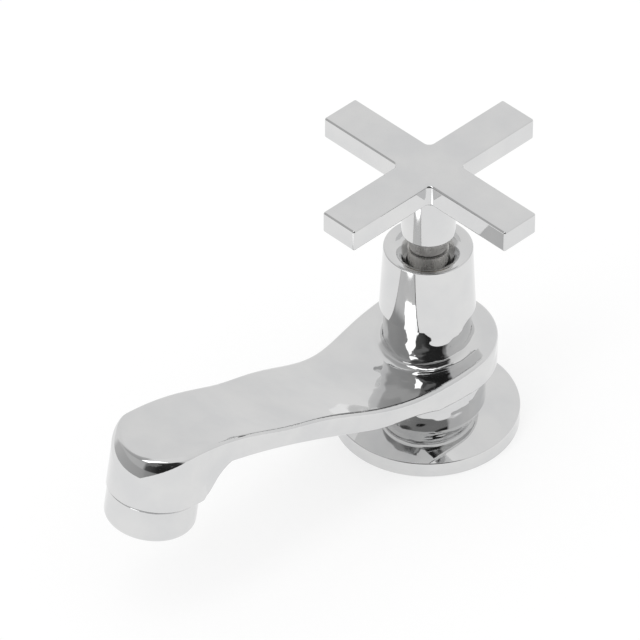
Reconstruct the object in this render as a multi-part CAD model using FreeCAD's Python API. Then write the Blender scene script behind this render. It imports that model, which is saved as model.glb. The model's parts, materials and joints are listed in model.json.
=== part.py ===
"""Cross handle pillar tap: a deck-mounted tap with a ceramic quarter-turn valve.

Millimetres. +Z is up, the spout points along -Y, and the origin is the centre of the base
flange's underside, on the deck. The handle turns about the Z axis.
"""
import FreeCAD, Part
import math
import os

from FreeCAD import Rotation, Vector

os.makedirs("parts", exist_ok=True)

# ---- clearances --------------------------------------------------------------------------
seat_gap = 0.03            # between round pieces that seat in one another and stay put
run_gap = 0.05             # radial running fit of a turning piece in its bore
swing_gap = 0.3            # between a turning piece and a wall that it only passes
disc_gap = 0.02            # water film between two lapped ceramic faces

# ---- pipe thread of the tail and the valve (G 1/2) -----------------------------------------
thread_r = 20.955 / 2      # over the crests, where the thread is free
thread_pitch_r = 19.793 / 2   # where two threads are engaged, both are drawn at this radius

# ---- base flange ---------------------------------------------------------------------------
flange_r = 27.0
flange_band = 3.9          # height of its upright edge
flange_round = 1.3
flange_top = 8.3           # height of the seat under the body's foot
flange_seat_r = 18.2       # the flat seat ends here and the top slopes down to the edge
flange_hole_r = thread_r + 0.5   # round the tail
flange_lip = 1.6           # wall between the gasket's groove and the hollow
flange_wall = 3.2          # thickness left over the hollow underside
gasket_in_r = 21.0
gasket_width = 3.6
gasket_depth = 1.6

# ---- body: foot, plate round the column, neck ------------------------------------------------
foot_r = 17.0
plate_r = 20.2
plate_under = 21.6         # underside of the plate
neck_r = 12.58
neck_top = 47.0
cover_seat = 42.4          # the bonnet cover stands on the neck's shoulder here
cover_spigot_r = 11.7      # the neck above the shoulder, inside the cover
rim_round = 1.2            # top edge of plate and spout
under_round = 0.8          # bottom edge of plate and spout
neck_fillet = 2.6
foot_fillet = 2.0

# ---- spout ---------------------------------------------------------------------------------
# heights of the hollowed top along its middle, from behind the column to past the nose
top_line = [(27.0, 32.9), (14.0, 30.6), (0.0, 28.8), (-12.0, 28.0), (-22.0, 28.1), (-31.0, 29.9),
            (-42.0, 34.35), (-60.0, 41.95), (-84.0, 51.2), (-97.0, 55.0), (-108.0, 56.4),
            (-122.0, 56.6)]
# heights of the underside from the foot to the nose
under_line = [(-24.0, 23.7), (-32.0, 24.6), (-42.0, 28.1), (-60.0, 35.6), (-78.0, 42.2),
              (-96.0, 47.6), (-110.0, 51.0)]
# half widths where the spout leaves the plate and tapers to the nose
flank_line = [(18.6, -17.0), (16.4, -29.0), (15.1, -41.0), (14.33, -56.0)]
nose_r = 13.3
parallel_y = -94.0         # from here to the nose the flanks are parallel
dish_r = 90.0              # radius of the hollow across the top
dish_reach = 30.0          # half width of the hollowing cut, past every rim

# ---- outlet --------------------------------------------------------------------------------
outlet_y = -106.75         # centre of the joint between nose and aerator
outlet_z = 39.54
outlet_tilt = 10.76        # degrees that the jet leans outwards
flare_round = 10.0         # hollow curve from the nose up to the spout's underside
flare_start = 0.8
aerator_r = 12.9
aerator_length = 11.1
aerator_round = 2.8
aerator_joint = 0.25       # the fine groove between nose and aerator
spigot_r = 11.0            # threaded end of the nose inside the aerator
spigot_length = 6.0
spigot_wall = 2.0
aerator_seal_height = 1.5
insert_flange = 1.0
insert_lip_r = 9.5         # mouth of the aerator
insert_wall = 1.2
insert_recess = 0.5        # the insert ends this far inside the mouth
comb_cell = 1.5            # across flats of a honeycomb cell
comb_wall = 0.45
comb_rings = 3
screen_thickness = 0.25
screen_pitch = 0.7

# ---- waterway ------------------------------------------------------------------------------
wall_top = 1.6
wall_under = 1.5
channel_half_width = 8.5
seat_z = 24.0              # the valve's seal stands here
seat_web = 2.6             # thickness of the web under the seat
seat_hole_r = 5.0
plan_start = -8.0          # the channel opens into the valve chamber here
nose_depth = 9.0           # the hollow of the nose above the joint
housing_thread = 4.0       # the valve's thread reaches this far below the cover's seat

# ---- valve cartridge -----------------------------------------------------------------------
cavity_r = 10.6            # valve chamber in the body
housing_r = 9.7
housing_wall = 1.2
seal_height = 1.5
seal_width = 2.2
disc_r = 8.2
disc_height = 3.0
port_in_r = 2.0
port_out_r = 6.4
port_angle = 76.0
tang_width = 3.0
tang_height = 1.2
window_half_width = 3.2
window_height = 3.6
window_rise = 0.4          # above the top face of the upper disc
spindle_foot_height = 5.0
foot_roof = 1.6            # left over the waterways in the spindle's foot
washer_height = 0.5
spindle_r = 4.25
ring_groove_depth = 0.9
ring_height = 1.8
ring_levels = (41.5, 46.5)
gasket_height = 1.0
collar_r = 11.4
collar_height = 1.5
hex_flats = 18.6
hex_height = 6.0
gland_r = 5.8              # the housing's neck that shows in the cover's opening
gland_top = 62.9
clip_height = 0.5
clip_width = 1.5

# ---- bonnet cover ----------------------------------------------------------------------------
cover_bottom_r = 13.77
cover_top_r = 12.72
cover_top = 63.2
cover_wall = 1.3
cover_mouth_z = 58.4       # level of the mouth at the bottom of its dished top
cover_mouth_r = 6.5
cover_edge = 0.5
cover_ring_rise = 0.2      # the black ring stands this far out of the mouth

# ---- handle --------------------------------------------------------------------------------
arm_reach = 35.6
arm_width = 12.4
arm_top = 92.4
arm_thick = 7.0
arm_edge = 0.7
arm_corner = 0.7
arm_fork = 1.8             # rounding in the corner between two arms
hub_r = 7.74
hub_bottom = 68.9
hub_edge = 0.35
bush_r = 5.5               # this piece shows as the dark collar under the hub
bush_bottom = 63.7
bush_top = 83.0
spline_teeth = 20
spline_r = 4.0
spline_depth = 0.4
spline_bottom = 73.0
spindle_top = 81.5
grub_r = 2.0
grub_level = 77.0
grub_socket = 2.0          # across flats of the key socket
grub_recess = 0.4

# ---- tail and its fixings --------------------------------------------------------------------
tail_bottom = -50.0
tail_bore_r = 6.8
tail_top = 20.4
tail_chamfer = 1.0
tail_relief = 0.5          # the free thread ends this far below the body
deck_thick = 20.0
washer_r = 17.0
washer_gap = 0.4
rubber_height = 3.0
metal_height = 1.5
nut_flats = 27.0
nut_height = 8.5
nut_chamfer = 1.0

tilt = math.radians(outlet_tilt)
disc_low = seat_z + seal_height
disc_mid = disc_low + disc_height
disc_high = disc_mid + disc_gap + disc_height
spindle_low = disc_high
shoulder = spindle_low + spindle_foot_height
housing_step = shoulder + disc_gap + washer_height
housing_bore_r = housing_r - housing_wall
housing_low = seat_z + 0.6
collar_low = neck_top + gasket_height
hex_low = collar_low + collar_height
hex_top = hex_low + hex_height
arm_under = arm_top - arm_thick
rubber_top = -deck_thick
metal_top = rubber_top - rubber_height
nut_top = metal_top - metal_height
nut_low = nut_top - nut_height


def cylinder(r, low, high):
    return Part.makeCylinder(r, high - low, Vector(0, 0, low))


def ring(inner, outer, low, high):
    return cylinder(outer, low, high).cut(cylinder(inner, low - 1, high + 1))


def turned(points):
    """A solid turned about Z from an outline of (radius, height) corners."""
    wire = Part.makePolygon([Vector(r, 0, z) for r, z in points + points[:1]])
    return Part.Face(wire).revolve(Vector(), Vector(0, 0, 1), 360)


def hexagon(flats, low, high, gap_r=0.0):
    """A hexagonal prism, with a round hole if gap_r is given."""
    r = flats / math.sqrt(3)
    corners = [Vector(r * math.cos(math.pi * k / 3), r * math.sin(math.pi * k / 3), low)
               for k in range(7)]
    prism = Part.Face(Part.makePolygon(corners)).extrude(Vector(0, 0, high - low))
    return prism.cut(cylinder(gap_r, low - 1, high + 1)) if gap_r else prism


def sector(inner, outer, middle, spread, low, high):
    """A wedge of a ring, about the direction given in degrees."""
    wedge = Part.makeCylinder(outer, high - low, Vector(0, 0, low), Vector(0, 0, 1), spread)
    wedge.rotate(Vector(), Vector(0, 0, 1), middle - spread / 2)
    return wedge.cut(cylinder(inner, low - 1, high + 1))


def splined(r, low, high, gap=0.0):
    """A shaft with straight teeth round it, or the space for one when gap is given."""
    step = 2 * math.pi / spline_teeth
    corners = []
    for tooth in range(spline_teeth):
        for share, level in ((-0.32, -spline_depth), (-0.18, 0), (0.18, 0), (0.32, -spline_depth)):
            angle = (tooth + share) * step
            corners.append(Vector((r + level + gap) * math.cos(angle),
                                  (r + level + gap) * math.sin(angle), low))
    face = Part.Face(Part.makePolygon(corners + corners[:1]))
    return face.extrude(Vector(0, 0, high - low))


def curve(points):
    """A smooth edge through (x, y, z) points."""
    spline = Part.BSplineCurve()
    spline.interpolate([Vector(*p) for p in points])
    return spline.toShape()


def at_outlet(shape):
    """Moves a shape drawn round Z, with the joint face at z = 0, to the leaning outlet."""
    placed = shape.copy()
    placed.Placement = FreeCAD.Placement(Vector(0, outlet_y, outlet_z),
                                         Rotation(Vector(1, 0, 0), -outlet_tilt))
    return placed


def keep(name, shape):
    solids = shape.Solids
    assert shape.isValid() and solids, name
    shape = solids[0] if len(solids) == 1 else Part.makeCompound(solids)
    shape.exportStep("parts/%s.step" % name)
    print("%-22s %d solid(s) %10.1f mm3" % (name, len(solids), shape.Volume))
    return shape


# ---- the body's outer form --------------------------------------------------------------------
def plan_edges():
    """The outline seen from above, as far as the parallel flanks: a closed loop."""
    right = [(plate_r, 0, 0)] + [(x, y, 0) for x, y in flank_line] + [(nose_r, parallel_y, 0)]
    flank = Part.BSplineCurve()
    flank.interpolate([Vector(*p) for p in right], InitialTangent=Vector(0, -1, 0),
                      FinalTangent=Vector(0, -1, 0))
    flank = flank.toShape()
    other = flank.mirror(Vector(), Vector(1, 0, 0))
    back = Part.Arc(Vector(plate_r, 0, 0), Vector(0, plate_r, 0), Vector(-plate_r, 0, 0)).toShape()
    end = Part.LineSegment(Vector(nose_r, parallel_y, 0), Vector(-nose_r, parallel_y, 0)).toShape()
    return [back, flank, end, other]


def plan_volume(height):
    """Everything inside the outline: upright flanks, and a nose that leans with the outlet."""
    face = Part.Face(Part.Wire(Part.__sortEdges__(plan_edges())))
    arm = face.extrude(Vector(0, 0, height))
    lean = Vector(0, math.sin(tilt), math.cos(tilt))
    foot = Vector(0, outlet_y, outlet_z) - lean * outlet_z
    behind = height
    corners = [Vector(nose_r, behind, 0), Vector(nose_r, 0, 0), Vector(0, -nose_r, 0),
               Vector(-nose_r, 0, 0), Vector(-nose_r, behind, 0)]
    loop = Part.Wire([Part.makeLine(corners[0], corners[1]),
                      Part.Arc(corners[1], corners[2], corners[3]).toShape(),
                      Part.makeLine(corners[3], corners[4]),
                      Part.makeLine(corners[4], corners[0])])
    nose = Part.Face(loop).extrude(Vector(0, 0, 2 * height))
    nose.Placement = FreeCAD.Placement(foot, Rotation(Vector(1, 0, 0), -outlet_tilt))
    front = Part.makeBox(4 * nose_r, 10 * nose_r, 3 * height,
                         Vector(-2 * nose_r, parallel_y - 10 * nose_r, -height))
    return arm.fuse(nose.common(front)).removeSplitter()


def hollowing_cut(drop=0.0, reach=dish_reach):
    """Takes away what lies over the top, which is hollow across and follows the top line."""
    up = Vector(0, 0, 60)
    sections = []
    for y, height in top_line:
        low = height - drop
        side = low + dish_r - math.sqrt(dish_r ** 2 - reach ** 2)
        left, right = Vector(-reach, y, side), Vector(reach, y, side)
        sections.append(Part.Wire([Part.Arc(left, Vector(0, y, low), right).toShape(),
                                   Part.makeLine(right, right + up),
                                   Part.makeLine(right + up, left + up),
                                   Part.makeLine(left + up, left)]))
    return Part.makeLoft(sections, True, False)


def above_underside():
    """The space over the underside: flat under the plate, then rising along the spout."""
    start = (0, -14.0, plate_under)
    slope = curve([start] + [(0, y, z) for y, z in under_line])
    first, last = slope.valueAt(slope.FirstParameter), slope.valueAt(slope.LastParameter)
    corners = [last, Vector(0, last.y - 30, last.z + 5), Vector(0, last.y - 30, 90),
               Vector(0, 40, 90), Vector(0, 40, plate_under), first]
    edges = [slope] + [Part.makeLine(a, b) for a, b in zip(corners, corners[1:])]
    side = Part.Face(Part.Wire(edges))
    side.translate(Vector(-40, 0, 0))
    return side.extrude(Vector(80, 0, 0))


def nose_flare():
    """The nose below the spout, widening upwards in a hollow curve all round its axis."""
    top = flare_start + flare_round
    bend = flare_round * (1 - math.sqrt(0.5))
    wide = nose_r + flare_round
    loop = Part.Wire([Part.makeLine(Vector(0, 0, 0), Vector(nose_r, 0, 0)),
                      Part.makeLine(Vector(nose_r, 0, 0), Vector(nose_r, 0, flare_start)),
                      Part.Arc(Vector(nose_r, 0, flare_start), Vector(nose_r + bend, 0, top - bend),
                               Vector(wide, 0, top)).toShape(),
                      Part.makeLine(Vector(wide, 0, top), Vector(0, 0, top)),
                      Part.makeLine(Vector(0, 0, top), Vector(0, 0, 0))])
    return at_outlet(Part.Face(loop).revolve(Vector(), Vector(0, 0, 1), 360))


def faces_facing(solid, z_from, z_to):
    """Faces whose normal at their middle has a Z part in the given range."""
    found = []
    for face in solid.Faces:
        u0, u1, v0, v1 = face.ParameterRange
        normal = face.normalAt((u0 + u1) / 2, (v0 + v1) / 2)
        if z_from <= normal.z <= z_to:
            found.append(face)
    return found


def body_form():
    """The outside of the cast body, all solid: spout, plate, foot, neck and nose."""
    form = plan_volume(75.0).common(above_underside().fuse(nose_flare())).cut(hollowing_cut())
    rim = [edge for face in faces_facing(form, 0.7, 1.0) for edge in face.Edges]
    form = form.makeFillet(rim_round, once(rim))
    under = [edge for face in faces_facing(form, -1.0, -0.7) for edge in face.Edges
             if edge.BoundBox.YMin > outlet_y]
    form = form.makeFillet(under_round, once(under))
    middle = plate_under + 4
    form = form.fuse([cylinder(foot_r, flange_top, middle), cylinder(neck_r, middle, cover_seat)])
    form = form.removeSplitter()
    form = form.makeFillet(neck_fillet, on_cylinder(form, neck_r, middle, cover_seat - 1))
    return form.makeFillet(foot_fillet, on_cylinder(form, foot_r, flange_top + 1, middle))


def once(edges):
    kept = []
    for edge in edges:
        if not any(edge.isSame(other) for other in kept):
            kept.append(edge)
    return kept


def on_cylinder(shape, r, low, high):
    """The edges that lie on the upright cylinder of radius r, between two heights."""
    found = []
    for edge in shape.Edges:
        first, length = edge.FirstParameter, edge.LastParameter - edge.FirstParameter
        points = [edge.valueAt(first + share * length) for share in (0.1, 0.35, 0.6, 0.9)]
        if all(abs(math.hypot(p.x, p.y) - r) < 0.01 and low < p.z < high for p in points):
            found.append(edge)
    return found


# ---- the body's inside ------------------------------------------------------------------------
def spout_channel():
    """The flat waterway from the valve chamber to the nose, with even walls over and under it."""
    roof = curve([(0, y, z - wall_top) for y, z in top_line if plan_start >= y >= outlet_y])
    floor = curve([(0, plan_start, seat_z + 0.5)]
                  + [(0, y, z + wall_under) for y, z in under_line if y >= outlet_y])
    a, b = roof.valueAt(roof.FirstParameter), roof.valueAt(roof.LastParameter)
    c, d = floor.valueAt(floor.FirstParameter), floor.valueAt(floor.LastParameter)
    side = Part.Face(Part.Wire([roof, Part.makeLine(b, d), floor, Part.makeLine(c, a)]))
    side.translate(Vector(-channel_half_width, 0, 0))
    return side.extrude(Vector(2 * channel_half_width, 0, 0))


def tap_body():
    form = body_form()
    spigot = at_outlet(cylinder(spigot_r, -spigot_length, 2.0))
    shoulder_ring = ring(cover_spigot_r, neck_r + 5, cover_seat, neck_top + 5)
    form = form.fuse([spigot, cylinder(cover_spigot_r, cover_seat - 1, neck_top)])
    form = form.removeSplitter().cut(shoulder_ring)
    hollows = [
        cylinder(cavity_r, seat_z, cover_seat - housing_thread),
        cylinder(thread_pitch_r + seat_gap, cover_seat - housing_thread - 1, neck_top + 1),
        cylinder(seat_hole_r, seat_z - seat_web - 1, seat_z + 1),
        cylinder(thread_pitch_r + seat_gap, flange_top - 1, seat_z - seat_web),
        spout_channel(),
        at_outlet(cylinder(spigot_r - spigot_wall, -spigot_length - 1, nose_depth)),
    ]
    for hollow in hollows:
        form = form.cut(hollow)
    return form


# ---- base flange and what holds the tap to the deck ----------------------------------------------
def base_flange():
    edge_z = flange_band + flange_round
    profile = [(flange_hole_r, 0), (flange_hole_r, flange_top), (flange_seat_r, flange_top)]
    top = profile + [(flange_r - flange_round, edge_z), (flange_r, flange_band), (flange_r, 0)]
    solid = turned(top)
    hollow_r = gasket_in_r - flange_lip
    solid = solid.cut(ring(foot_r - flange_wall, hollow_r, -1, flange_top - flange_wall))
    solid = solid.cut(ring(gasket_in_r, gasket_in_r + gasket_width, -1, gasket_depth))
    edges = [edge for edge in solid.Edges if abs(edge.BoundBox.ZMin - edge_z) < 0.01
             and edge.BoundBox.ZLength < 0.01]
    return solid.makeFillet(flange_round * 0.7, edges)


def tail_shank():
    """The threaded tail. Where it is screwed into the body and the nut, it has the pitch radius."""
    solid = cylinder(thread_r, tail_bottom, flange_top - tail_relief)
    solid = solid.cut(ring(thread_pitch_r, thread_r + 1, nut_low, nut_top))
    solid = solid.fuse(cylinder(thread_pitch_r, nut_low, tail_top)).removeSplitter()
    end = [edge for edge in solid.Edges if edge.BoundBox.ZMax < tail_bottom + 0.01]
    solid = solid.makeChamfer(tail_chamfer, end)
    return solid.cut(cylinder(tail_bore_r, tail_bottom - 1, tail_top + 1))


def back_nut():
    solid = hexagon(nut_flats, nut_low, nut_top, thread_pitch_r + seat_gap)
    corner = nut_flats / math.sqrt(3)
    flat = nut_flats / 2
    drop = corner - flat
    cone = turned([(0, nut_low), (flat, nut_low), (corner, nut_low + drop / 2),
                   (corner, nut_top - drop / 2), (flat, nut_top), (0, nut_top)])
    return solid.common(cone)


# ---- valve cartridge ---------------------------------------------------------------------------
def ported(low, high, turn):
    """A ceramic disc with two opposite ports."""
    solid = cylinder(disc_r, low, high)
    for side in (0, 180):
        solid = solid.cut(sector(port_in_r, port_out_r, turn + side, port_angle, low - 1, high + 1))
    return solid


def lower_ceramic_disc():
    return ported(disc_low, disc_mid, 0)


def upper_ceramic_disc():
    """Turned across the lower disc's ports, which is shut; a slot takes the spindle's tang."""
    solid = ported(disc_mid + disc_gap, disc_high, 90)
    half = tang_width / 2
    slot = Part.makeBox(4 * disc_r, 2 * half, 2 * tang_height,
                        Vector(-2 * disc_r, -half, disc_high - tang_height))
    return solid.cut(slot)


def spindle():
    """Tang, foot with two waterways, shaft with seal grooves, clip groove and splined end."""
    solid = cylinder(disc_r, spindle_low, shoulder)
    for side in (90, 270):
        way = sector(port_in_r, disc_r + 1, side, port_angle, spindle_low - 1,
                     shoulder - foot_roof)
        solid = solid.cut(way)
    half = tang_width / 2 - seat_gap
    tang = Part.makeBox(2 * disc_r, 2 * half, tang_height,
                        Vector(-disc_r, -half, spindle_low - tang_height + seat_gap))
    tang = tang.common(cylinder(disc_r - seat_gap, spindle_low - tang_height, spindle_low))
    shaft = cylinder(spindle_r, shoulder, spline_bottom)
    solid = solid.fuse([tang, shaft]).removeSplitter()
    for level in ring_levels:
        solid = solid.cut(ring(spindle_r - ring_groove_depth, spindle_r + 1, level,
                               level + ring_height))
    solid = solid.cut(ring(spindle_r - ring_groove_depth, spindle_r + 1, gland_top + disc_gap,
                           gland_top + disc_gap + clip_height))
    return solid.fuse(splined(spline_r, spline_bottom, spindle_top)).removeSplitter()


def spindle_o_rings():
    """Two seals in the spindle's grooves, each rounded and squeezed to its groove's width."""
    rings = []
    for level in ring_levels:
        rings.append(seal_ring(spindle_r - ring_groove_depth + seat_gap,
                               spindle_r + run_gap / 2,
                               level + seat_gap, level + ring_height - seat_gap))
    return Part.makeCompound(rings)


def seal_ring(inner, outer, low, high):
    """A squeezed round seal: an eight-sided section turned about Z."""
    cut = 0.29 * min(outer - inner, high - low)
    return turned([(inner, low + cut), (inner + cut, low), (outer - cut, low), (outer, low + cut),
                   (outer, high - cut), (outer - cut, high), (inner + cut, high),
                   (inner, high - cut)])


def round_edges(shape):
    return [edge for edge in shape.Edges if isinstance(edge.Curve, Part.Circle)]


def spindle_circlip():
    """A spring clip round the spindle, which keeps it from dropping through the housing."""
    low = gland_top + 2 * disc_gap
    inner = spindle_r - ring_groove_depth + seat_gap
    clip = ring(inner, inner + clip_width, low, low + clip_height - 2 * disc_gap)
    mouth = Part.makeBox(inner * 1.5, 4 * spindle_r, 2 * clip_height + 1,
                         Vector(-inner * 0.75, 0, low - 0.5))
    return clip.cut(mouth)


def thrust_washer():
    low = shoulder + disc_gap
    return ring(spindle_r + run_gap, housing_bore_r - seat_gap, low, low + washer_height)


def cartridge_housing():
    """The brass housing: a windowed skirt round the discs, thread, collar, hexagon and gland."""
    thread_low = cover_seat - housing_thread + 0.5
    solid = cylinder(housing_r, housing_low, thread_low)
    solid = solid.fuse([cylinder(thread_pitch_r, thread_low, collar_low),
                        cylinder(collar_r, collar_low, hex_low),
                        hexagon(hex_flats, hex_low, hex_top),
                        cylinder(gland_r, hex_top, gland_top)]).removeSplitter()
    solid = solid.cut(cylinder(housing_bore_r, housing_low - 1, housing_step))
    solid = solid.cut(cylinder(spindle_r + run_gap, housing_step - 1, gland_top + 1))
    for turn in (0, 90):
        window = Part.makeBox(4 * housing_r, 2 * window_half_width, window_height,
                              Vector(-2 * housing_r, -window_half_width, spindle_low + window_rise))
        window.rotate(Vector(), Vector(0, 0, 1), turn)
        solid = solid.cut(window)
    return solid


def seat_seal():
    """The rubber seal under the lower disc, on the body's seat."""
    outer = housing_bore_r - seat_gap
    return ring(outer - seal_width, outer, seat_z, disc_low)


# ---- bonnet cover --------------------------------------------------------------------------------
def cover_r(z):
    share = (z - cover_seat) / (cover_top - cover_seat)
    return cover_bottom_r + share * (cover_top_r - cover_bottom_r)


def bonnet_cover():
    """The tapered cover, dished at the top down to a round mouth for the gland."""
    bore = cover_spigot_r + swing_gap
    roof = cover_mouth_z - cover_wall
    bevel = cover_edge / 2
    return turned([(bore, cover_seat), (cover_bottom_r, cover_seat),
                   (cover_top_r, cover_top - bevel), (cover_top_r - bevel, cover_top),
                   (cover_top_r - cover_edge, cover_top), (cover_mouth_r, cover_mouth_z),
                   (cover_mouth_r, roof), (bore - cover_wall, roof), (bore, roof - cover_wall)])


def cover_o_ring():
    """The black ring that closes the mouth of the cover round the gland."""
    return seal_ring(gland_r + seat_gap, cover_mouth_r - seat_gap,
                     cover_mouth_z - cover_wall, cover_mouth_z + cover_ring_rise)


# ---- handle ----------------------------------------------------------------------------------
def cross_handle():
    """Two crossed flat arms on a round hub, all one casting, with a blind bore from below."""
    half = arm_width / 2
    arms = [Part.makeBox(2 * arm_reach, arm_width, arm_thick, Vector(-arm_reach, -half, arm_under)),
            Part.makeBox(arm_width, 2 * arm_reach, arm_thick, Vector(-half, -arm_reach, arm_under))]
    cross = arms[0].fuse(arms[1]).removeSplitter()
    upright = [edge for edge in cross.Edges if edge.BoundBox.ZLength > arm_thick - 0.1]
    fork = [edge for edge in upright
            if max(abs(edge.BoundBox.XMin), abs(edge.BoundBox.YMin)) < half + 0.1]
    cross = cross.makeFillet(arm_fork, fork)
    corner = [edge for edge in cross.Edges if edge.BoundBox.ZLength > arm_thick - 0.1
              and max(edge.BoundBox.XMax, -edge.BoundBox.XMin, edge.BoundBox.YMax,
                      -edge.BoundBox.YMin) > arm_reach - 0.1]
    cross = cross.makeFillet(arm_corner, corner)
    flat = [edge for edge in cross.Edges if edge.BoundBox.ZLength < 0.01]
    cross = cross.makeFillet(arm_edge, flat)
    hub = cylinder(hub_r, hub_bottom, arm_under + 1)
    hub = hub.makeFillet(hub_edge, [edge for edge in round_edges(hub)
                                    if edge.BoundBox.ZMax < hub_bottom + 0.01])
    solid = cross.fuse(hub).removeSplitter()
    solid = solid.cut(cylinder(bush_r + seat_gap, hub_bottom - 1, bush_top))
    return solid.cut(grub_hole(hub_r + 1))


def grub_hole(reach):
    start = spline_r + seat_gap
    return Part.makeCylinder(grub_r + seat_gap, reach - start, Vector(0, start, grub_level),
                             Vector(0, 1, 0))


def handle_spline_bush():
    """The splined bush in the hub. Its lower end shows as a dark collar."""
    solid = cylinder(bush_r, bush_bottom, bush_top - seat_gap)
    solid = solid.cut(cylinder(spindle_r + seat_gap, bush_bottom - 1, spline_bottom + 0.1))
    solid = solid.cut(splined(spline_r, spline_bottom, spindle_top + 0.3, seat_gap))
    return solid.cut(grub_hole(bush_r + 1))


def handle_grub_screw():
    """The socket screw at the back of the hub, which locks the handle on the spindle."""
    start = spline_r + 2 * seat_gap
    end = hub_r - grub_recess
    solid = Part.makeCylinder(grub_r, end - start, Vector(0, start, grub_level), Vector(0, 1, 0))
    socket = hexagon(grub_socket, 0, 1.6)
    socket.Placement = FreeCAD.Placement(Vector(0, end + 0.1, grub_level),
                                         Rotation(Vector(1, 0, 0), 90))
    return solid.cut(socket)


# ---- aerator -----------------------------------------------------------------------------------
def aerator_housing():
    """The ring that screws on the nose, with a rounded lower edge and a smaller mouth."""
    low = -aerator_length
    lip = -spigot_length - aerator_seal_height - insert_flange
    solid = cylinder(aerator_r, low, -aerator_joint)
    solid = solid.makeFillet(aerator_round, [edge for edge in round_edges(solid)
                                             if edge.BoundBox.ZMax < low + 0.01])
    solid = solid.cut(cylinder(spigot_r + seat_gap, lip, 1))
    return at_outlet(solid.cut(cylinder(insert_lip_r, low - 1, 0)))


def aerator_seal():
    low = -spigot_length - aerator_seal_height
    return at_outlet(ring(spigot_r - spigot_wall, spigot_r - seat_gap, low, -spigot_length))


def honeycomb():
    """Centres of hexagonal cells in rings round a middle one."""
    pitch = comb_cell + comb_wall
    cells = []
    for q in range(-comb_rings, comb_rings + 1):
        for r in range(max(-comb_rings, -q - comb_rings), min(comb_rings, -q + comb_rings) + 1):
            cells.append((pitch * (q + r / 2), pitch * r * math.sqrt(3) / 2))
    return cells


def aerator_insert():
    """The plastic insert: a flange under the seal and a honeycomb that straightens the jet."""
    top = -spigot_length - aerator_seal_height
    low = -aerator_length + insert_recess
    body_r = insert_lip_r - seat_gap
    solid = cylinder(spigot_r - seat_gap, top - insert_flange, top)
    solid = solid.fuse(cylinder(body_r, low, top)).removeSplitter()
    solid = solid.cut(cylinder(body_r - insert_wall, top - insert_flange, top + 1))
    cells = []
    for x, y in honeycomb():
        cell = hexagon(comb_cell, low - 1, top + 1)
        cell.translate(Vector(x, y, 0))
        cells.append(cell)
    return at_outlet(solid.cut(Part.makeCompound(cells)))


def aerator_screens():
    """Two round mesh screens that lie on the honeycomb."""
    base = -spigot_length - aerator_seal_height - insert_flange
    r = insert_lip_r - insert_wall - 3 * seat_gap
    screens = []
    for level in (0, 1):
        low = base + level * screen_pitch
        screens.append(cylinder(r, low, low + screen_thickness))
    return at_outlet(Part.makeCompound(screens))


keep("tap_body", tap_body())
keep("base_flange", base_flange())
keep("base_gasket", ring(gasket_in_r + seat_gap, gasket_in_r + gasket_width - seat_gap, 0, gasket_depth))
keep("tail_shank", tail_shank())
keep("tail_seal", ring(tail_bore_r, thread_pitch_r - seat_gap, tail_top, seat_z - seat_web))
keep("deck_rubber_washer", ring(thread_r + washer_gap, washer_r, metal_top, rubber_top))
keep("deck_metal_washer", ring(thread_r + washer_gap, washer_r, nut_top, metal_top))
keep("back_nut", back_nut())
keep("seat_seal", seat_seal())
keep("lower_ceramic_disc", lower_ceramic_disc())
keep("upper_ceramic_disc", upper_ceramic_disc())
keep("spindle", spindle())
keep("spindle_o_rings", spindle_o_rings())
keep("spindle_circlip", spindle_circlip())
keep("thrust_washer", thrust_washer())
keep("cartridge_housing", cartridge_housing())
keep("housing_gasket", ring(thread_pitch_r + seat_gap, cover_spigot_r - seat_gap, neck_top, collar_low))
keep("bonnet_cover", bonnet_cover())
keep("cover_o_ring", cover_o_ring())
keep("cross_handle", cross_handle())
keep("handle_spline_bush", handle_spline_bush())
keep("handle_grub_screw", handle_grub_screw())
keep("aerator_housing", aerator_housing())
keep("aerator_seal", aerator_seal())
keep("aerator_insert", aerator_insert())
keep("aerator_screens", aerator_screens())
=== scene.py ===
# %% [markdown]
# # A chrome cross handle tap
#
# This lesson dresses a finished CAD model of a pillar tap. The CAD solids are loaded first and
# stay where they are. Then come the camera, the studio, the finishes, and the few pieces that
# are made finer than their solids: crisp chrome edges, a brow on the nose, round seals, the
# thread on the tail and a mesh of wires.

# %% Load the frame
import bmesh
import bpy
import json
import math
from mathutils import Matrix, Vector
from mathutils.bvhtree import BVHTree
from mathutils.interpolate import poly_3d_calc


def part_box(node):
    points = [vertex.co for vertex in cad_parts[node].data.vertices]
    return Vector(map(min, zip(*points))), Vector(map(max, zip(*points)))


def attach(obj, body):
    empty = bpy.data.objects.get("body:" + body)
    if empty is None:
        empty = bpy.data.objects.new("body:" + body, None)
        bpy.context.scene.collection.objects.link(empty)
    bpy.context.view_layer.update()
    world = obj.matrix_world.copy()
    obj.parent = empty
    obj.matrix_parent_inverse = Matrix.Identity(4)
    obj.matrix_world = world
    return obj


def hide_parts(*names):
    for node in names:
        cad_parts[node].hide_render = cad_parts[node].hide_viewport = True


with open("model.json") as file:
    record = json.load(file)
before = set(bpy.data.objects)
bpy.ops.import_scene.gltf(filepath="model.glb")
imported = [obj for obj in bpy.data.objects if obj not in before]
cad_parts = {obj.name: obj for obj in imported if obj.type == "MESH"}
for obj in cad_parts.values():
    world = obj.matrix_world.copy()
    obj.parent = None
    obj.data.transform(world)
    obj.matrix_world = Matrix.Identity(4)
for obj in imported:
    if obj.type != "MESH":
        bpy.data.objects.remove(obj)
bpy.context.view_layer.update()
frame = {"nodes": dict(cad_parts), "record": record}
nodes = frame["nodes"]
print("nodes loaded:", len(nodes))

# %% [markdown]
# ## The camera
#
# The photograph was taken from the front right, about 40 degrees above the deck, with a long
# lens, so the tap shows hardly any perspective. A camera can be turned by hand until it fits.
# Here its two angles, its distance and its aim are named instead, so that each can be read.

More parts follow.
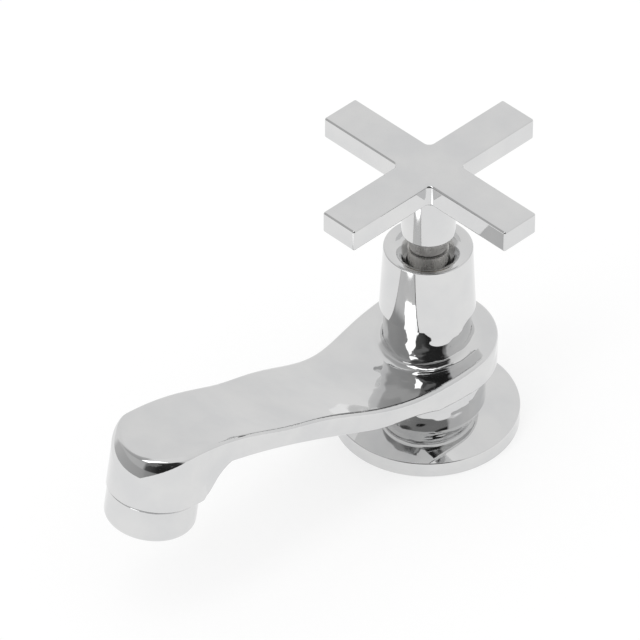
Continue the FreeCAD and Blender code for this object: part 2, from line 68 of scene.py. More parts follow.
# %% Camera
view_azimuth = math.radians(45.54)     # from the spout's side, towards +X
view_elevation = math.radians(40.44)
view_distance = 2.0
view_target = Vector((-0.03390, -0.00939, 0.02067))
sensor_width, lens_length = 36.0, 391.6                # both in millimetres
far_limit = 20.0


def bearing_vector(azimuth, elevation):
    """The unit vector that points to a place in the studio, seen from the tap."""
    return Vector((math.sin(azimuth) * math.cos(elevation),
                   -math.cos(azimuth) * math.cos(elevation), math.sin(elevation)))


towards_camera = bearing_vector(view_azimuth, view_elevation)
camera_data = bpy.data.cameras.new("camera")
camera_data.sensor_width = sensor_width
camera_data.lens = lens_length
camera_data.clip_end = far_limit
camera = bpy.data.objects.new("camera", camera_data)
camera.location = view_target + view_distance * towards_camera
camera.rotation_euler = (-towards_camera).to_track_quat("-Z", "Y").to_euler()
bpy.context.scene.collection.objects.link(camera)
bpy.context.scene.camera = camera
bpy.context.scene.view_settings.view_transform = "Standard"
print("camera at", [round(value, 3) for value in camera.location])

# %% [markdown]
# ## Small helpers for shader nodes
#
# Materials and the studio are both built from nodes. Clicking them together is fine for one
# material, but a dozen of them read better as short calls. One helper makes a node and fills
# in its values, the other draws a link.

# %% Node helpers
def add_node(tree, kind, values=None, **properties):
    """A shader node with its properties and its unlinked inputs filled in."""
    node = tree.nodes.new(kind)
    for name, value in properties.items():
        setattr(node, name, value)
    for entry, value in (values or {}).items():
        node.inputs[entry].default_value = value
    return node


def link(tree, source, target, entry, output=0):
    tree.links.new(source.outputs[output], target.inputs[entry])


def grey(level):
    return (level, level, level, 1.0)


def ramp(tree, source, stops):
    """A colour ramp of greys from (position, brightness) stops."""
    node = add_node(tree, "ShaderNodeValToRGB")
    points = node.color_ramp.elements
    while len(points) > 1:
        points.remove(points[-1])
    points[0].position = stops[0][0]
    points[0].color = grey(stops[0][1])
    for position, level in stops[1:]:
        points.new(position).color = grey(level)
    link(tree, source, node, "Fac")
    return node


def blend(tree, factor, low, high, mode="MIX"):
    """A colour that changes from low to high; each is a node or a plain colour."""
    node = add_node(tree, "ShaderNodeMix", data_type="RGBA", blend_type=mode)
    if isinstance(factor, float):
        node.inputs["Factor"].default_value = factor
    else:
        link(tree, factor, node, "Factor")
    for entry, value in ((6, low), (7, high)):
        if isinstance(value, tuple):
            node.inputs[entry].default_value = value
        else:
            link(tree, value, node, entry, 2 if value.bl_idname == "ShaderNodeMix" else 0)
    return node


def remap(tree, source, start, stop, low=0.0, high=1.0, smooth=False, output=0):
    """Stretches the span from start to stop over low to high."""
    kind = "SMOOTHSTEP" if smooth else "LINEAR"
    node = add_node(tree, "ShaderNodeMapRange", {"From Min": start, "From Max": stop,
                                                 "To Min": low, "To Max": high},
                    interpolation_type=kind)
    link(tree, source, node, "Value", output)
    return node


print("helpers: add_node, link, grey, ramp, blend, remap")

# %% [markdown]
# ## The studio that the chrome mirrors
#
# Chrome has almost no colour of its own: what it shows is the room. The photograph's room is a
# light table with pale walls behind and on the right, a darker wall on the left and a dark
# space round the camera. A room could be built from cards, but a sky made of nodes gives the
# same reflections and casts no stray shadows. The walls are named by their bearing from the
# camera, so the sky is turned first.

# %% Directions in the sky
world = bpy.data.worlds.new("studio")
bpy.context.scene.world = world
world.use_nodes = True
sky = world.node_tree
sky.nodes.clear()

direction = add_node(sky, "ShaderNodeTexCoord")
turned = add_node(sky, "ShaderNodeVectorRotate", {"Angle": math.pi / 2 - view_azimuth},
                  rotation_type="Z_AXIS")
link(sky, direction, turned, "Vector", "Generated")
parts = add_node(sky, "ShaderNodeSeparateXYZ")
link(sky, turned, parts, "Vector")
around = add_node(sky, "ShaderNodeMath", operation="ARCTAN2")
link(sky, parts, around, 0, "Y")
link(sky, parts, around, 1, "X")
bearing = remap(sky, around, -math.pi, math.pi)
print("the camera's side of the sky is now in the middle of the ramps")

# %% [markdown]
# ## Three bands of wall
#
# What a face mirrors depends on its slope: seen from the camera, a steep face mirrors the low
# part of the room and a flatter one the high part. The brow on the nose lies in between, and it
# has to be the blackest. So the room is painted in three bands, one above the other, under a
# bright ceiling, and the middle band is the darkest round the camera. That dark space isn't
# empty: a few dim shapes stand in it, which break up the black in the chrome.

# %% Walls and ceiling
def wall(stops):
    """A ramp round the studio from (degrees from the camera, brightness) stops."""
    return ramp(sky, bearing, [((degrees + 180) / 360, level) for degrees, level in stops])


def above(low, high):
    """0 below one elevation and 1 above another, in degrees."""
    return remap(sky, parts, math.sin(math.radians(low)), math.sin(math.radians(high)),
                 smooth=True, output="Z")


pale = 0.88
ceiling = 0.92
dim = 0.20                             # the brightest of the shapes in the dark space
low_wall = wall([(-180, pale), (-126, 0.86), (-116, 0.56), (-80, 0.48), (-60, 0.44), (-44, 0.40),
                 (-40, 0.34), (-18, 0.26), (38, 0.26), (44, 0.74), (100, pale), (180, pale)])
middle_wall = wall([(-180, pale), (-126, 0.86), (-116, 0.60), (-80, 0.58), (-48, 0.54),
                    (-42, 0.10), (-18, 0.02), (38, 0.02), (44, 0.74), (100, pale), (180, pale)])
high_wall = wall([(-180, pale), (-130, 0.84), (-112, 0.50), (-62, 0.42), (-44, 0.40), (-38, 0.12),
                  (-15, 0.03), (30, 0.03), (44, 0.78), (100, pale), (180, pale)])
clutter = add_node(sky, "ShaderNodeTexNoise", {"Scale": 2.6, "Detail": 3.0, "Distortion": 0.6})
link(sky, turned, clutter, "Vector")
shapes = blend(sky, remap(sky, clutter, 0.50, 0.62, smooth=True), grey(0.0), grey(dim))
lower_walls = blend(sky, above(14, 17), low_wall, middle_wall)
lit_walls = blend(sky, above(28, 36), lower_walls, high_wall)
walls = blend(sky, 1.0, lit_walls, shapes, mode="LIGHTEN")
shell = blend(sky, above(70, 78), walls, grey(ceiling))
print("walls:", [len(band.color_ramp.elements) for band in (low_wall, middle_wall, high_wall)],
      "stops")

# %% [markdown]
# ## Three skies in one
#
# The camera should see plain white, mirrors should see the studio, and matt surfaces should
# get an even light at which a colour renders about as it is written. A light path node tells
# these rays apart, so one world serves all three.

# %% World output
matt_light = 0.86                      # the light at which a matt colour renders as written


def backdrop(colour, strength):
    return add_node(sky, "ShaderNodeBackground", {"Color": colour, "Strength": strength})


mirrored = backdrop(grey(1.0), 1.0)
link(sky, shell, mirrored, "Color", 2)
even_light = backdrop(grey(1.0), matt_light)
white = backdrop(grey(1.0), 1.0)

rays = add_node(sky, "ShaderNodeLightPath")
for_mirrors = add_node(sky, "ShaderNodeMixShader")
link(sky, rays, for_mirrors, 0, "Is Glossy Ray")
link(sky, even_light, for_mirrors, 1)
link(sky, mirrored, for_mirrors, 2)
clear_rays = add_node(sky, "ShaderNodeMath", operation="MAXIMUM")
link(sky, rays, clear_rays, 0, "Is Camera Ray")
link(sky, rays, clear_rays, 1, "Is Transmission Ray")
for_camera = add_node(sky, "ShaderNodeMixShader")
link(sky, clear_rays, for_camera, 0)
link(sky, for_mirrors, for_camera, 1)
link(sky, white, for_camera, 2)
sky_output = add_node(sky, "ShaderNodeOutputWorld")
link(sky, for_camera, sky_output, "Surface")
print("world nodes:", len(sky.nodes))

# %% [markdown]
# ## The floor
#
# The tap stands on a white light table. A white sheet lit until it clips would also flood the
# tap with light. Instead the sheet glows a little, but only for the camera and for mirrors,
# and its matt part still catches the tap's shadow. The table ends where the chrome shows its
# edge: half a metre from the tap.

# %% Floor
table_radius = 0.5
table_level = -0.0002                  # a hair under the flange, so that no two faces coincide
table_glow = 0.68
table_paint = 0.35

bm = bmesh.new()
bmesh.ops.create_circle(bm, cap_ends=True, segments=96, radius=table_radius,
                        matrix=Matrix.Translation((0, 0, table_level)))
floor_mesh = bpy.data.meshes.new("floor")
bm.to_mesh(floor_mesh)
bm.free()
floor = bpy.data.objects.new("floor", floor_mesh)
bpy.context.scene.collection.objects.link(floor)

floor_material = bpy.data.materials.new("light_table")
floor_material.use_nodes = True
tree = floor_material.node_tree
tree.nodes.clear()
paint = add_node(tree, "ShaderNodeBsdfDiffuse", {"Color": grey(table_paint)})
rays = add_node(tree, "ShaderNodeLightPath")
seen = add_node(tree, "ShaderNodeMath", operation="MAXIMUM")
link(tree, rays, seen, 0, "Is Camera Ray")
link(tree, rays, seen, 1, "Is Glossy Ray")
seen_or_clear = add_node(tree, "ShaderNodeMath", operation="MAXIMUM")
link(tree, seen, seen_or_clear, 0)
link(tree, rays, seen_or_clear, 1, "Is Transmission Ray")
glow_strength = remap(tree, seen_or_clear, 0.0, 1.0, 0.0, table_glow)
glow = add_node(tree, "ShaderNodeEmission")
link(tree, glow_strength, glow, "Strength")
both = add_node(tree, "ShaderNodeAddShader")
link(tree, paint, both, 0)
link(tree, glow, both, 1)
floor_output = add_node(tree, "ShaderNodeOutputMaterial")
link(tree, both, floor_output, "Surface")
floor_mesh.materials.append(floor_material)
print("floor radius:", table_radius, "m, glow:", table_glow)

# %% [markdown]
# ## The key light
#
# One tall softbox stands on the camera's left, high up. It makes the white stripes on the
# cover and the hub. A lamp's power follows from how bright its face should look in the chrome:
# brightness times pi times its area.

# %% Softbox
def softbox(name, degrees_left, degrees_up, distance, width, height, brightness):
    """A rectangular lamp at a bearing from the camera, turned to face the tap."""
    lamp = bpy.data.lights.new(name, "AREA")
    lamp.shape = "RECTANGLE"
    lamp.size = width
    lamp.size_y = height
    lamp.energy = brightness * math.pi * width * height
    place = bearing_vector(view_azimuth - math.radians(degrees_left), math.radians(degrees_up))
    holder = bpy.data.objects.new(name, lamp)
    holder.location = distance * place
    holder.rotation_euler = (-place).to_track_quat("-Z", "Y").to_euler()
    bpy.context.scene.collection.objects.link(holder)
    return lamp


key_light = softbox("key_softbox", degrees_left=50, degrees_up=60, distance=1.5, width=0.38,
                    height=1.2, brightness=1.9)
print("key light:", round(key_light.energy, 2), "W")

# %% [markdown]
# ## Patterns that the finishes share
#
# A real surface is never one flat colour. Castings are a little wavy, turned parts carry fine
# rings, and handling leaves patches that are duller than the rest. Each of these is noise read
# in the piece's own coordinates, which here are the CAD's metres, so that a scale of 1000
# means one patch in a millimetre. Noise keeps to the middle of its span from 0 to 1, so that
# middle is stretched over the two colours.

# %% Pattern helpers
noise_low, noise_high = 0.35, 0.65


def speckle(tree, scale, detail=3.0, stretch=(1.0, 1.0, 1.0)):
    """Soft patches; scale is how many fit in a metre."""
    place = add_node(tree, "ShaderNodeTexCoord")
    shaped = add_node(tree, "ShaderNodeMapping", {"Scale": stretch})
    link(tree, place, shaped, "Vector", "Object")
    noise = add_node(tree, "ShaderNodeTexNoise", {"Scale": scale, "Detail": detail})
    link(tree, shaped, noise, "Vector")
    return noise


def lathe_rings(tree, scale):
    """Fine rings round the column's axis, as a cutting tool leaves them."""
    place = add_node(tree, "ShaderNodeTexCoord")
    axes = add_node(tree, "ShaderNodeSeparateXYZ")
    link(tree, place, axes, "Vector", "Object")
    flat = add_node(tree, "ShaderNodeCombineXYZ")
    link(tree, axes, flat, "X", "X")
    link(tree, axes, flat, "Y", "Y")
    radius = add_node(tree, "ShaderNodeVectorMath", operation="LENGTH")
    link(tree, flat, radius, 0)
    section = add_node(tree, "ShaderNodeCombineXYZ")
    link(tree, radius, section, "X", "Value")
    link(tree, axes, section, "Z", "Z")
    noise = add_node(tree, "ShaderNodeTexNoise", {"Scale": scale, "Detail": 2.0})
    link(tree, section, noise, "Vector")
    return noise


def relief(tree, source, height, over=None):
    """A bump of so many metres from a pattern, on top of another bump if one is given."""
    bump = add_node(tree, "ShaderNodeBump", {"Strength": 1.0, "Distance": height})
    link(tree, source, bump, "Height")
    if over:
        link(tree, over, bump, "Normal")
    return bump


def new_finish(name, metallic):
    """An empty material, its node tree and its shader."""
    material = bpy.data.materials.new(name)
    material.use_nodes = True
    shader = material.node_tree.nodes["Principled BSDF"]
    shader.inputs["Metallic"].default_value = metallic
    return material, material.node_tree, shader


def coat(tree, shader, colour_from, dark, light, dull_from, smooth, dull, bump):
    """Joins a pattern of colour, a pattern of roughness and a bump to a shader."""
    share = remap(tree, colour_from, noise_low, noise_high)
    link(tree, blend(tree, share, dark, light), shader, "Base Color", 2)
    link(tree, remap(tree, dull_from, noise_low, noise_high, smooth, dull), shader, "Roughness")
    link(tree, bump, shader, "Normal")


finishes = {}
print("helpers: speckle, lathe_rings, relief, new_finish, coat")

# %% [markdown]
# ## Chrome plate
#
# The cover, flange, handle and aerator ring are cast or turned brass under chrome. From near
# by, polished castings show their reflections a little bent, because the polishing wheel
# follows the metal up and down. A wide, very low bump does that. A second, finer pattern makes
# some patches a trace duller, as wiping and hard water do.

# %% Chrome plate
chrome_dark = (0.665, 0.668, 0.672, 1.0)
chrome_light = (0.705, 0.705, 0.703, 1.0)
wheel_waves = 0.00010                  # height of the polishing waves, in metres
grain_depth = 0.0000004
mirror_roughness, wiped_roughness = 0.025, 0.060


def plate(name, more_relief=None):
    """Chrome plate; more_relief may lay another bump over the common ones."""
    material, tree, shader = new_finish(name, 1.0)
    waves = relief(tree, speckle(tree, 55.0, detail=1.0), wheel_waves)
    bump = relief(tree, speckle(tree, 2500.0, detail=2.0), grain_depth, waves)
    if more_relief:
        bump = more_relief(tree, bump)
    patches = speckle(tree, 90.0)
    wiped = speckle(tree, 260.0, detail=4.0, stretch=(1.0, 1.0, 0.35))
    coat(tree, shader, patches, chrome_dark, chrome_light, wiped, mirror_roughness,
         wiped_roughness, bump)
    return material


finishes["chrome_plate"] = plate("chrome_plate")
print("chrome reflects", chrome_dark[0], "to", chrome_light[0])

# %% [markdown]
# ## Chrome on the cast body
#
# The photograph shows broken, swirling reflections on the neck and the foot, and calm ones on
# the spout. A wheel can follow the flat spout, but round the column it has to be pushed into
# the corners by hand, which leaves the metal wavy. So the body gets chrome plate of its own:
# the same colours, and a second, stronger set of waves that fades out away from the column.

# %% Cast chrome
hand_waves = 0.0006                    # height of the waves round the column, in metres
wavy_radius, calm_radius = 0.019, 0.027


def swirls(tree, over):
    """Waves as far as the wavy radius from the column's axis, none beyond the calm radius."""
    place = add_node(tree, "ShaderNodeTexCoord")
    flattened = add_node(tree, "ShaderNodeVectorMath", {1: (1.0, 1.0, 0.0)},
                         operation="MULTIPLY")
    link(tree, place, flattened, 0, "Object")
    from_axis = add_node(tree, "ShaderNodeVectorMath", operation="LENGTH")
    link(tree, flattened, from_axis, 0)
    near_column = remap(tree, from_axis, wavy_radius, calm_radius, 1.0, 0.0, smooth=True,
                        output="Value")
    masked = add_node(tree, "ShaderNodeMath", operation="MULTIPLY")
    link(tree, speckle(tree, 120.0, detail=1.0, stretch=(1.0, 1.0, 1.4)), masked, 0)
    link(tree, near_column, masked, 1)
    return relief(tree, masked, hand_waves, over)


finishes["cast_chrome"] = plate("cast_chrome", swirls)
print("waves fade out between", wavy_radius, "and", calm_radius, "m from the axis")

# %% [markdown]
# ## Turned metals
#
# The dark collar, the gland, the washers, the tail and the nut come off a lathe, and their
# rings show as fine streaks across the light. The rings could be modelled, but they are a
# few hundredths of a millimetre deep, so a bump from noise that is stretched round the axis is
# enough. The collar and the gland are satin: their marks scatter light so widely that a part
# of it comes back as from a matt surface, so these two aren't metal all the way.

# %% Turned metals
turned_metals = [
    # name, metal share, dark colour, light colour, smooth, dull, rings in a metre, their depth
    ("dark_steel", 0.70, (0.58, 0.57, 0.555), (0.74, 0.73, 0.715), 0.24, 0.40, 1700.0, 0.000010),
    ("nickel", 0.70, (0.66, 0.65, 0.63), (0.80, 0.79, 0.77), 0.22, 0.38, 2200.0, 0.000008),
    ("zinc_steel", 1.0, (0.50, 0.51, 0.52), (0.66, 0.67, 0.66), 0.25, 0.45, 1500.0, 0.000012),
    ("brass", 1.0, (0.62, 0.46, 0.21), (0.77, 0.60, 0.31), 0.16, 0.34, 1900.0, 0.000012),
]
for name, metal_share, dark, light, smooth, dull, rings, depth in turned_metals:
    finishes[name], tree, shader = new_finish(name, metal_share)
    marks = lathe_rings(tree, rings)
    stains = speckle(tree, 170.0, detail=5.0)
    handled = speckle(tree, 420.0, detail=4.0)
    coat(tree, shader, stains, (*dark, 1.0), (*light, 1.0), handled, smooth, dull,
         relief(tree, marks, depth))
print("turned metals:", [row[0] for row in turned_metals])

# %% [markdown]
# ## Blackened spring steel
#
# The clip on the spindle is spring steel with a black oxide skin. In the photograph it is the
# first of the two black lines under the handle, so its skin is darker than rubber and hardly
# glossy. It is a little speckled where the oil has dried.

# %% Black steel
finishes["black_steel"], tree, shader = new_finish("black_steel", 0.1)
shader.inputs["Specular IOR Level"].default_value = 0.2
oil = speckle(tree, 1400.0, detail=5.0)
skin = speckle(tree, 6000.0, detail=3.0)
coat(tree, shader, oil, (0.003, 0.003, 0.004, 1.0), (0.012, 0.012, 0.011, 1.0), oil,
     smooth=0.45, dull=0.70, bump=relief(tree, skin, 0.000006))
print("black steel done")

# %% [markdown]
# ## Wires of the aerator's screens
#
# The screens are woven from drawn wire. Drawing leaves lines along the wire, and a little
# scale from the water sits in the crossings, so both colour and roughness change over
# distances of half a millimetre.

# %% Screen wire
finishes["screen_steel"], tree, shader = new_finish("screen_steel", 1.0)
scale_spots = speckle(tree, 2100.0, detail=4.0)
drawn = speckle(tree, 9000.0, detail=2.0)
coat(tree, shader, scale_spots, (0.50, 0.50, 0.49, 1.0), (0.70, 0.70, 0.70, 1.0), drawn,
     smooth=0.18, dull=0.42, bump=relief(tree, drawn, 0.000003))
print("screen wire done")

# %% [markdown]
# ## Rubber, fibre, plastic and ceramic
#
# None of these is a metal. Rubber is nearly black with a fine grain and dusty patches. The
# fibre washers are pressed from dyed threads, so their pattern is stretched. Moulded plastic
# has a fine, even grain. The lapped ceramic is almost mirror smooth and hardly varies.

# %% Soft and hard non-metals
non_metals = [
    # name, dark colour, light colour, smooth, dull, patches, grain, stretch, depth in metres
    ("rubber", (0.016, 0.016, 0.017), (0.036, 0.035, 0.034), 0.48, 0.72, 500.0, 5200.0,
     (1.0, 1.0, 1.0), 0.000014),
    ("fibre", (0.30, 0.065, 0.045), (0.52, 0.16, 0.11), 0.62, 0.85, 900.0, 3600.0,
     (1.0, 0.25, 1.6), 0.000030),
    ("white_plastic", (0.78, 0.78, 0.77), (0.88, 0.88, 0.87), 0.38, 0.55, 350.0, 6500.0,
     (1.0, 1.0, 1.0), 0.000006),
    ("grey_plastic", (0.53, 0.55, 0.57), (0.66, 0.68, 0.70), 0.36, 0.54, 420.0, 6000.0,
     (1.0, 1.0, 1.0), 0.000007),
    ("ceramic", (0.83, 0.82, 0.78), (0.91, 0.90, 0.87), 0.08, 0.20, 260.0, 7000.0,
     (1.0, 1.0, 1.0), 0.000002),
]
for name, dark, light, smooth, dull, patch_scale, grain_scale, stretch, depth in non_metals:
    finishes[name], tree, shader = new_finish(name, 0.0)
    patches = speckle(tree, patch_scale, detail=4.0, stretch=stretch)
    grain = speckle(tree, grain_scale, detail=2.0, stretch=stretch)
    coat(tree, shader, patches, (*dark, 1.0), (*light, 1.0), grain, smooth, dull,
         relief(tree, grain, depth))
print("non-metals:", [row[0] for row in non_metals])

# %% [markdown]
# ## Each solid gets its finish
#
# The CAD record says which finish every piece has. Following it keeps the two models in step,
# where a list typed again here could drift away from it.

# %% Dress the CAD solids
slot_of = {part["node"]: part["material_slot"] for part in frame["record"]["subparts"]}
for name, slot in slot_of.items():
    mesh = nodes[name].data
    mesh.materials.clear()
    mesh.materials.append(finishes[slot])
print("dressed", len(slot_of), "nodes with", len(finishes), "finishes")

# %% [markdown]
# ## Making a piece of its own
#
# A few pieces deserve more than their solid shows. Each is drawn in a bmesh, in metres where
# the CAD has it, and then takes the place of its node. Edges where two faces meet at a sharp
# angle stay sharp, and all the others are shaded smooth.

# %% Piece helper
millimetre = 0.001
sharp_angle = math.radians(38)


def finished_object(name, bm):
    """An object from a finished bmesh: normals outward, sharp edges marked, the rest smooth."""
    bmesh.ops.recalc_face_normals(bm, faces=bm.faces)
    for face in bm.faces:
        face.smooth = True
    for edge in bm.edges:
        edge.smooth = edge.calc_face_angle(0.0) < sharp_angle
    mesh = bpy.data.meshes.new(name)
    bm.to_mesh(mesh)
    bm.free()
    made = bpy.data.objects.new(name, mesh)
    bpy.context.scene.collection.objects.link(made)
    return made


def make_piece(name, bm, node, body):
    """Turns a finished bmesh into a piece that stands for a CAD node."""
    piece = finished_object(name, bm)
    piece.data.materials.append(finishes[slot_of[node]])
    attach(piece, body)
    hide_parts(node)
    low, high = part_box(node)
    print(name, "has", len(piece.data.polygons), "faces; its node is",
          [round((b - a) / millimetre, 2) for a, b in zip(low, high)], "mm")
    return piece


def spin_round(bm, points, steps):
    """Draws a closed outline of (radius, height) points, in metres, and spins it round Z."""
    corners = [bm.verts.new((radius, 0.0, height)) for radius, height in points]
    edges = [bm.edges.new(pair) for pair in zip(corners, corners[1:] + corners[:1])]
    bmesh.ops.spin(bm, geom=corners + edges, cent=(0, 0, 0), axis=(0, 0, 1),
                   angle=2 * math.pi, steps=steps, use_merge=True)


print("helpers: finished_object, make_piece, spin_round")

# %% [markdown]
# ## Smooth turned shapes for the chrome
#
# Chrome shows every fault in a mesh. A turned part whose outline has flats and roundings is
# shaded best when each flat keeps its own direction right up to the rounding. The weighted
# normal modifier does that. The outlines are written in millimetres, as on a drawing.

# %% Turned chrome helper
outlet = Vector((0.0, -106.75, 39.54)) * millimetre
outlet_lean = math.radians(-10.76)
at_outlet = Matrix.Translation(outlet) @ Matrix.Rotation(outlet_lean, 4, "X")


def rounding(centre, radius, start, stop, steps=8):
    """Points on an arc, in millimetres, between two angles in degrees."""
    angles = [math.radians(start + (stop - start) * step / steps) for step in range(steps + 1)]
    return [(centre[0] + radius * math.cos(angle), centre[1] + radius * math.sin(angle))
            for angle in angles]


def in_metres(points):
    return [(radius * millimetre, height * millimetre) for radius, height in points]


def even_shading(piece):
    """Flats keep their own direction up to the roundings."""
    modifier = piece.modifiers.new("even_shading", "WEIGHTED_NORMAL")
    modifier.keep_sharp = True
    return piece


print("the outlet is", [round(value, 5) for value in outlet])

# %% [markdown]
# ## The base flange
#
# The photograph shows a tall upright edge that turns crisply into a gently sloping top. The
# solid has a wider bevel there. Its radius, seat and underside are kept, and only the rim's
# outline is drawn again: a small rounding high on the edge.

# %% Base flange
edge_radius = 27.0
edge_top = 4.6
edge_round = 0.4
slope_angle = 69.0                     # where the rounding meets the sloping top, in degrees
flange_outline = [(10.9775, 0), (13.8, 0), (13.8, 5.1), (19.4, 5.1), (19.4, 0), (21.0, 0),
                  (21.0, 1.6), (24.6, 1.6), (24.6, 0), (26.8, 0), (edge_radius, 0.2)]
flange_outline += rounding((edge_radius - edge_round, edge_top), edge_round, 0, slope_angle)
flange_outline += [(18.2, 8.3), (10.9775, 8.3)]
bm = bmesh.new()
spin_round(bm, in_metres(flange_outline), steps=180)
even_shading(make_piece("foot_flange", bm, "base_flange", "tap"))

# %% [markdown]
# ## The bonnet cover
#
# The cover's top is pale all round in the photograph and turns dark only near its mouth. A
# straight cone mirrored the dark space all over on one side, so the top is drawn almost flat at
# the rim, curling down into the mouth. A narrow lip at its end lies over the black seal, which
# shows only as a fine dark line round the gland.

# %% Bonnet cover
lip_bottom = 58.28                     # the black seal lies right under the lip
curl = [(11.6, 63.05), (10.6, 62.76), (9.6, 62.28), (8.8, 61.68), (8.1, 60.94), (7.5, 60.1),
        (6.95, 59.3), (6.5, 58.74), (6.2, 58.4), (6.2, lip_bottom), (6.5, lip_bottom)]
cover_outline = [(12.0, 42.4), (13.67, 42.4), (13.77, 42.5), (12.735, 62.8)]
cover_outline += rounding((12.435, 62.9), 0.3, 10, 95, steps=5)
cover_outline += curl + [(6.5, 57.1), (10.7, 57.1), (12.0, 55.8)]
bm = bmesh.new()
spin_round(bm, in_metres(cover_outline), steps=180)
even_shading(make_piece("tapered_cover", bm, "bonnet_cover", "tap"))

# %% [markdown]
# ## The aerator ring
#
# The ring under the nose has a generously rounded lower edge and a fine groove above it, which
# shows as a dark line. Its outline is spun upright round Z and then leaned over with the outlet.

# %% Aerator ring
ring_outline = [(9.5, -8.5), (9.5, -10.9), (9.7, -11.1)]
ring_outline += rounding((10.1, -8.3), 2.8, -90, 0, steps=14)
ring_outline += [(12.9, -0.7), (12.7, -0.5), (11.03, -0.5), (11.03, -8.5)]
bm = bmesh.new()
spin_round(bm, in_metres(ring_outline), steps=160)
bmesh.ops.transform(bm, matrix=at_outlet, verts=bm.verts)
even_shading(make_piece("aerator_ring", bm, "aerator_housing", "tap"))

# %% [markdown]
# ## The cast body, with its brow
#
# On the real nose the hollowed top ends in a crisp crease, and below it the front bends out to
# the upright wall. That brow is the black crescent in the photograph. The solid stops at a
# plain rounded rim. Modelling the whole casting again would lose its exact surfaces, so a copy
# is cut instead: a boolean takes away the brow, and another adds the hollow flare behind.
#
# A boolean forgets how the casting was shaded. Each new corner therefore takes its direction
# from the nearest surface of what it came from: the solid, or the tool that cut it.

# %% Cutting tools: helpers
def cutting_tool(name, bm):
    """An object that is used up while the body is shaped."""
    bmesh.ops.triangulate(bm, faces=bm.faces)
    return finished_object(name, bm)


def shape_with(base, tool, operation):
    """Applies one boolean to an object, for good."""
    modifier = base.modifiers.new("shape", "BOOLEAN")
    modifier.operation = operation
    modifier.object = tool
    modifier.solver = "EXACT"
    graph = bpy.context.evaluated_depsgraph_get()
    shaped = bpy.data.meshes.new_from_object(base.evaluated_get(graph))
    base.modifiers.clear()
    base.data = shaped


def half_turn(bm, points, steps=96):
    """Spins a closed outline half round, over the side of -Y, and closes both ends."""
    corners = [bm.verts.new((radius, 0.0, height)) for radius, height in points]
    section = bm.faces.new(corners)
    bmesh.ops.spin(bm, geom=corners + section.edges[:] + [section], cent=(0, 0, 0),
                   axis=(0, 0, 1), angle=-math.pi, steps=steps, use_merge=False)


print("boolean helpers ready")

# %% Brow tool
brow_axis = -101.2                     # the brow turns about an upright line at this Y
crease_radius = 13.4
crease_height = 56.6
brow_foot = 51.0
foot_tilt, middle_tilt, crease_tilt = 14.8, 40.0, 68.0  # in degrees, from upright to flat
tip_radius = 1.8
tool_reach = 4.0                       # how far the tool goes on past the brow, up and down


def tilted(angle):
    """The direction that leans up by so many degrees, as (outward, up)."""
    return math.cos(math.radians(angle)), math.sin(math.radians(angle))


tip_rise = tilted(crease_tilt)[1] - tilted(middle_tilt)[1]
bend_rise = tilted(middle_tilt)[1] - tilted(foot_tilt)[1]
bend_radius = (crease_height - brow_foot - tip_radius * tip_rise) / bend_rise
tip_centre = (crease_radius - tip_radius * tilted(crease_tilt)[0],
              crease_height - tip_radius * tilted(crease_tilt)[1])
shift = tip_radius - bend_radius
bend_centre = (tip_centre[0] + shift * tilted(middle_tilt)[0],
               tip_centre[1] + shift * tilted(middle_tilt)[1])
brow = rounding(bend_centre, bend_radius, foot_tilt, middle_tilt, steps=20)
brow += rounding(tip_centre, tip_radius, middle_tilt, crease_tilt, steps=8)[1:]
low_end = (brow[0][0] + tool_reach * math.tan(math.radians(foot_tilt)),
           brow[0][1] - tool_reach)
high_end = (brow[-1][0] - tool_reach * math.tan(math.radians(crease_tilt)),
            brow[-1][1] + tool_reach)
outer = 2.2 * crease_radius            # well outside the nose
bm = bmesh.new()
half_turn(bm, in_metres([low_end] + brow + [high_end, (outer, high_end[1]),
                                            (outer, low_end[1])]))
bmesh.ops.translate(bm, verts=bm.verts, vec=(0, brow_axis * millimetre, 0))
brow_tool = cutting_tool("brow_tool", bm)
print("brow bend radius:", round(bend_radius, 2), "mm")

# %% Flare tool
flare = [(12.2, 0.0), (14.1, 0.0)]
flare += rounding((14.1, 0.9), 0.9, -60, 0, steps=4)
flare += [(15.15, 1.4), (15.6, 2.2), (16.05, 3.4), (16.5, 4.6), (17.0, 5.9), (17.6, 7.0),
          (18.4, 8.1), (19.4, 9.1), (20.8, 10.0), (22.5, 10.6), (22.5, 12.4), (12.2, 12.4)]
flank = 13.29 * millimetre
bm = bmesh.new()
half_turn(bm, in_metres(flare))
bmesh.ops.rotate(bm, verts=bm.verts, matrix=Matrix.Rotation(math.pi, 3, "Z"))
for side in (-1, 1):
    cut = bmesh.ops.bisect_plane(bm, geom=bm.verts[:] + bm.edges[:] + bm.faces[:],
                                 plane_co=(side * flank, 0, 0), plane_no=(side, 0, 0),
                                 clear_outer=True)
    rim = [item for item in cut["geom_cut"] if isinstance(item, bmesh.types.BMEdge)]
    bmesh.ops.contextual_create(bm, geom=rim)
bmesh.ops.transform(bm, matrix=at_outlet, verts=bm.verts)
flare_tool = cutting_tool("flare_tool", bm)
print("flare faces:", len(flare_tool.data.polygons))

# %% Shape the body
def surface_of(mesh):
    """What is needed to look up a mesh's shading: a search tree, corners and directions."""
    tree = BVHTree.FromPolygons([vertex.co for vertex in mesh.vertices],
                                [tuple(face.vertices) for face in mesh.polygons])
    faces = [([mesh.vertices[index].co.copy() for index in face.vertices],
              [mesh.corner_normals[loop].vector.copy() for loop in face.loop_indices])
             for face in mesh.polygons]
    return tree, faces


